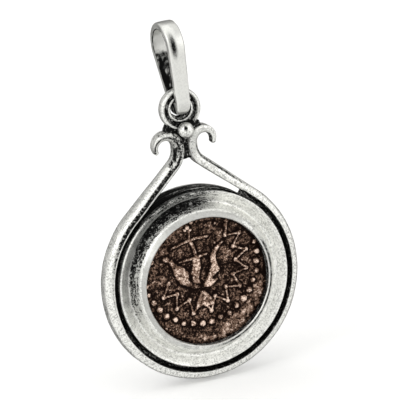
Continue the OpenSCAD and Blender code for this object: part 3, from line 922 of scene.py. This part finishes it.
class Relief:
    """Relief of the struck face of the coin, placed in shares of the radius of its border of pellets."""

    LEFT_HORN = (
        (-0.67, 0.21), (-0.58, 0.25), (-0.49, 0.19), (-0.4, 0.08), (-0.26, -0.02), (-0.21, -0.12),
        (-0.22, -0.23), (-0.13, -0.31), (-0.04, -0.37), (-0.13, -0.41), (-0.26, -0.34), (-0.4, -0.24),
        (-0.46, -0.13), (-0.49, 0), (-0.54, 0.12), (-0.61, 0.16),
    )
    RIGHT_HORN = (
        (0.46, 0.3), (0.35, 0.28), (0.25, 0.2), (0.18, 0.08), (0.17, -0.05), (0.12, -0.17), (0.08, -0.26),
        (0.01, -0.35), (0.03, -0.4), (0.13, -0.42), (0.28, -0.31), (0.19, -0.27), (0.33, -0.17),
        (0.3, -0.06), (0.29, 0.06), (0.34, 0.18),
    )
    STAFF_FOOT = (
        (-0.1, 0.14), (0, 0.13), (0, -0.1), (-0.05, -0.23), (-0.02, -0.33), (-0.12, -0.32),
        (-0.18, -0.25), (-0.15, 0.02),
    )
    STAFF_TOP = ((-0.17, 0.43), (-0.11, 0.43), (-0.05, 0.27), (-0.03, 0.12), (-0.08, 0.12), (-0.11, 0.28))
    LONG_BAR = ((-0.47, 0.37), (-0.13, 0.46), (0.17, 0.46), (0.17, 0.41), (-0.12, 0.41), (-0.46, 0.34))
    SHORT_BAR = ((-0.35, 0.12), (-0.05, 0.15), (0.13, 0.16), (0.13, 0.13), (-0.05, 0.1), (-0.35, 0.09))
    WEDGE = ((0, -0.44), (0.08, -0.5), (0.18, -0.73), (-0.07, -0.72), (-0.19, -0.74), (-0.07, -0.5))
    BUD = (
        ((-0.07, 0.72), 0.042), ((-0.15, 0.65), 0.045), ((-0.1, 0.6), 0.03), ((-0.2, 0.61), 0.03),
        ((-0.84, 0.21), 0.05), ((0.33, 0.62), 0.03), ((0.5, 0.55), 0.035),
    )

    # Each form with its full height and the width of its shoulder.
    FORMS = (
        (LEFT_HORN, 0.8, 0.045), (RIGHT_HORN, 0.96, 0.045), (STAFF_FOOT, 0.78, 0.04),
        (STAFF_TOP, 0.78, 0.022), (LONG_BAR, 0.85, 0.018), (SHORT_BAR, 0.75, 0.014), (WEDGE, 0.84, 0.045),
    )
    STEM = np.array(((-0.14, 0.42), (-0.13, 0.6)))
    BORDER_RADIUS, OFF_CENTRE = 7.08, (-0.39, 2.0)
    STROKE_HALF, STROKE_RISE, STROKE_EDGE = 0.018, 0.78, 0.013
    KNOT, PELLET, PELLET_CHANGE, SPOT_RISE, SPOT_EDGE = 0.042, 0.052, 0.007, 0.95, 0.03
    FOOT_REACH = 0.028

    def __init__(self, pellets):
        self.pellets = pellets

    @staticmethod
    def segment_distance(at, one, other):
        """Distance of each point from a straight line between two points."""
        way = other - one
        share = np.clip((at - one) @ way / max(1e-9, way @ way), 0, 1)
        return np.linalg.norm(at - one - share[:, None] * way, axis=1)

    def depth_in(self, at, corners):
        """Distance inwards from the outline of a shape, below 0 outside it."""
        shape = self.curved(np.array(corners))
        best = np.full(len(at), np.inf)
        inside = np.zeros(len(at), bool)
        for one, other in zip(shape, np.roll(shape, -1, axis=0)):
            best = np.minimum(best, self.segment_distance(at, one, other))
            crosses = (one[1] > at[:, 1]) != (other[1] > at[:, 1])
            reach = one[0] + (at[:, 1] - one[1]) * (other[0] - one[0]) / (other[1] - one[1] + 1e-12)
            inside ^= crosses & (at[:, 0] < reach)
        return np.where(inside, best, -best)

    @staticmethod
    def curved(corners, steps=4):
        """Closed curve through the corners of a shape."""
        a, b, c, d = (np.roll(corners, k, axis=0) for k in (1, 0, -1, -2))
        rows = [
            0.5 * (2 * b + (c - a) * t + (2 * a - 5 * b + 4 * c - d) * t**2 + (3 * b - a - 3 * c + d) * t**3)
            for t in np.arange(steps) / steps
        ]
        return np.stack(rows, 1).reshape(-1, 2)

    @staticmethod
    def rise(depth, edge):
        """Soft shoulder that reaches its full height at edge inside the outline."""
        t = np.clip(depth / edge + 0.35, 0, 1)
        return t * t * (3 - 2 * t)

    @staticmethod
    def vine():
        """Corners of the zigzag vine between the device and the pellets."""
        count = np.arange(20)
        turn_by = np.radians(-160 + 11 * count)
        share = np.where(count % 2, 0.82, 0.62)
        return share[:, None] * np.stack((np.cos(turn_by), np.sin(turn_by)), 1)

    def heights(self, places):
        """Heights over the field, 0 to 1, and how near the foot of a shape is, at places in millimetres."""
        at = (places - self.OFF_CENTRE) / self.BORDER_RADIUS
        forms = [(self.depth_in(at, shape), full, edge) for shape, full, edge in self.FORMS]
        vine = self.vine()
        strokes = [*zip(vine, vine[1:]), self.STEM]
        for ends in strokes:
            depth = self.STROKE_HALF - self.segment_distance(at, *ends)
            forms.append((depth, self.STROKE_RISE, self.STROKE_EDGE))
        spots = [(spot, self.KNOT) for spot in vine] + [(np.array(spot), size) for spot, size in self.BUD]
        for i in range(self.pellets):
            a = 2 * pi * i / self.pellets
            place = np.array((cos(a), sin(a))) * (1 + 0.012 * sin(3.7 * i))
            spots.append((place, self.PELLET + self.PELLET_CHANGE * sin(5.0 * i)))
        for spot, size in spots:
            forms.append((size - np.linalg.norm(at - spot, axis=1), self.SPOT_RISE, self.SPOT_EDGE))
        high, foot = np.zeros(len(at)), np.zeros(len(at))
        for depth, full, edge in forms:
            crown = 0.8 + 0.2 * np.clip(depth / (2.5 * edge), 0, 1)
            high = np.maximum(high, full * crown * self.rise(depth, edge))
            foot = np.maximum(foot, np.exp(-((np.minimum(depth, 0) / self.FOOT_REACH) ** 2)))
        return high, foot * (1 - high)


class PENDANT_OT_coin(bpy.types.Operator):
    """Make the worn bronze coin with its relief"""

    bl_idname = "pendant.coin"
    bl_label = "Coin"

    SEEN_RADIUS, RINGS, AROUND, WOBBLE = 7.9, 122, 560, 0.06

    def execute(self, context):
        sizes = context.scene.pendant_sizes
        edge = sizes.coin_radius / MM
        bm = bmesh.new()
        face = [(self.SEEN_RADIUS * i / self.RINGS, COIN_FRONT) for i in range(self.RINGS + 1)]
        outline(bm, [*face, (edge, COIN_FRONT), (edge, COIN_BACK), (0, COIN_BACK)], closed=False)
        turn(bm, self.AROUND)
        self.strike(bm, sizes)
        hung(bm)
        piece("coin_struck", bm, worn_bronze, "drop", "coin", slot="bronze")
        return {"FINISHED"}

    def strike(self, bm, sizes):
        """Raises the relief and the worn grain on the face, and notes how high each point stands, darkened at
        the rim by a painted shadow of the bezel.
        """
        relief = sizes.relief / MM
        layer = bm.verts.layers.float.new("height")
        reach = self.SEEN_RADIUS + 0.01
        face = [v for v in bm.verts if abs(-v.co.y - COIN_FRONT) < 1e-3 and clock(v.co)[0] < reach]
        places = [(v.co.x + self.WOBBLE * ripple((v.co.x, 0, v.co.z), 0.8, 11),
                   v.co.z + self.WOBBLE * ripple((v.co.x, 0, v.co.z), 0.8, 12)) for v in face]
        high, foot = Relief(sizes.pellets).heights(np.array(places))
        for vert, share, near in zip(face, high, foot):
            co, r = vert.co, clock(vert.co)[0]
            grain = 0.5 * ripple(co, 0.24, 13) + 0.5 * ripple(co, 0.5, 14)
            swell = ripple(co, 1.7, 15)
            low = fade(-6.2, -4.6, co.z - 0.55 * co.x + 1.2 * ripple(co, 2.5, 18))
            spread_edge = low * smooth(5.2, 6.6, r)
            worn = 0.72 + 0.28 * smooth(-0.5, 0.3, ripple(co, 0.7, 16))
            rise = max(share * worn, 0.55 * spread_edge * (0.55 + 0.9 * ripple(co, 0.45, 17)))
            # Near the rim, under the bezel: the relief is flattened there, and the colour darkened as a
            # painted shadow of the bezel.
            fall = smooth(7.1, 7.5, r)
            lift = rise + 0.22 * grain + 0.14 * swell - 0.22 * near * (1 - spread_edge)
            vert.co.y -= relief * lift * (1 - 0.4 * fall) * (r < self.SEEN_RADIUS - 0.05)
            # The fall term is a painted shadow of the bezel on the rim of the coin.
            level = 0.1 + 0.76 * rise + 0.45 * grain + 0.14 * swell - 0.45 * near - 0.35 * fall
            vert[layer] = min(1.0, max(-0.6, level))


class PENDANT_OT_stage(bpy.types.Operator):
    """Set up the pale floor, the soft studio light and the camera"""

    bl_idname = "pendant.stage"
    bl_label = "Stage, light and camera"

    def execute(self, context):
        self.floor()
        self.lights()
        self.world(context.scene)
        self.camera(context.scene)
        view = context.scene.view_settings
        view.view_transform, view.look = "Standard", "None"
        return {"FINISHED"}

    @staticmethod
    def floor():
        """A pale sheet, a little lit from below, that lies under the pendant and curves up behind it."""
        bm = bmesh.new()
        bmesh.ops.create_grid(bm, x_segments=2, y_segments=48, size=1.0)
        half_width, flat_to, bend, low = 1.6, 0.55, 0.35, -0.04175
        for vert in bm.verts:
            run = 0.95 * (vert.co.y + 1) - 0.9
            over = max(0.0, run - flat_to) / bend
            turned = min(over, pi / 2)
            up = bend * (1 - cos(turned) + over - turned)
            vert.co = half_width * vert.co.x, min(run, flat_to) + bend * sin(turned), low + up
        mesh = mesh_of("floor", bm)
        mesh.shade_smooth()
        n = Nodes(bpy.data.materials.new("paper"))
        n.surface({
            "Base Color": n.spread(n.grain(n.point(), 60.0), 0.3, 0.7, 0.86, 0.9),
            "Roughness": 0.9,
            "Emission Color": rgba((1.0, 1.0, 1.0)),
            "Emission Strength": 0.14,
        })
        mesh.materials.append(n.owner)
        sheet = placed("floor", mesh)
        sheet.visible_glossy = False

    @staticmethod
    def lights():
        """Big soft lamps: the key from the upper left, a fill from the right and one from above."""
        middle_of_pendant = Vector((0, 0, -0.025))
        for name, place, size, power in (
            ("key", (-0.55, -0.2, 0.42), 0.35, 1.0),
            ("fill", (0.5, -0.45, 0.25), 0.5, 0.5),
            ("top", (0.05, 0.15, 0.7), 0.6, 0.35),
        ):
            lamp = bpy.data.lights.new(name, "AREA")
            lamp.size, lamp.energy, lamp.color = size, power, (1.0, 0.995, 0.98)
            made = placed(name, lamp)
            made.location = place
            aim = middle_of_pendant - Vector(place)
            made.rotation_euler = aim.to_track_quat("-Z", "Y").to_euler()

    @staticmethod
    def world(scene):
        """Light tent: white all round, with a dark gap behind the pendant and a faint one in front."""
        n = Nodes(bpy.data.worlds.new("tent"), "ShaderNodeBackground", "ShaderNodeOutputWorld")
        way = n.add("ShaderNodeTexCoord").outputs["Generated"]
        gaps = []
        for middle, near, far, dark in (
            ((0.34, 0.90, -0.28), 0.75, 0.32, 0.06), ((0.33, -0.60, -0.72), 0.96, 0.75, 0.75),
        ):
            dot = n.add("ShaderNodeVectorMath", way, Vector(middle).normalized(), operation="DOT_PRODUCT")
            gaps.append(n.spread(dot.outputs["Value"], far, near, 1.0, dark))
        n.surface({"Color": rgba((1.0, 1.0, 0.985)), "Strength": n.math("MULTIPLY", *gaps)})
        scene.world = n.owner

    @staticmethod
    def camera(scene):
        """Camera at the angle of the photograph, leaning a little so that the pendant leans to the left."""
        side, rise, roll = (radians(angle) for angle in (20.8, 16.2, -6.9))
        aside, above, away = 0.034, 8.77, 0.6
        back = Vector((-sin(side) * cos(rise), -cos(side) * cos(rise), sin(rise)))
        level = Vector((cos(side), -sin(side), 0))
        up = back.cross(level)
        right = level * cos(roll) + up * sin(roll)
        up = up * cos(roll) - level * sin(roll)
        lens = bpy.data.cameras.new("camera")
        lens.sensor_width, lens.lens = 36.0, 469.8
        lens.clip_start, lens.clip_end = 0.05, 10.0
        made = placed("camera", lens)
        target = (DROP + aside * right + above * up) * MM
        turned = Matrix((right, up, back)).transposed().to_4x4()
        made.matrix_world = Matrix.Translation(target + back * away) @ turned
        scene.camera = made


class PENDANT_PT_panel(bpy.types.Panel):
    """Pieces of the pendant in the sidebar"""

    bl_idname = "PENDANT_PT_panel"
    bl_label = "Coin pendant"
    bl_space_type = "VIEW_3D"
    bl_region_type = "UI"
    bl_category = "Pendant"

    def draw(self, context):
        for step in STEPS:
            self.layout.operator(step.bl_idname)
        for group in (context.scene.pendant_sizes, context.scene.pendant_look):
            column = self.layout.column()
            for key in group.__annotations__:
                column.prop(group, key)


STEPS = (
    PENDANT_OT_bail, PENDANT_OT_wire, PENDANT_OT_fork, PENDANT_OT_eye, PENDANT_OT_cup, PENDANT_OT_bezel,
    PENDANT_OT_coin, PENDANT_OT_stage,
)
CLASSES = (PendantSizes, PendantLook, *STEPS, PENDANT_PT_panel)


def register():
    for cls in CLASSES:
        bpy.utils.register_class(cls)
    bpy.types.Scene.pendant_sizes = bpy.props.PointerProperty(type=PendantSizes)
    bpy.types.Scene.pendant_look = bpy.props.PointerProperty(type=PendantLook)


def unregister():
    del bpy.types.Scene.pendant_look
    del bpy.types.Scene.pendant_sizes
    for cls in reversed(CLASSES):
        bpy.utils.unregister_class(cls)


def main():
    register()
    for step in STEPS:
        group, name = step.bl_idname.split(".")
        getattr(getattr(bpy.ops, group), name)()
    bpy.context.view_layer.update()


if __name__ == "__main__":
    main()
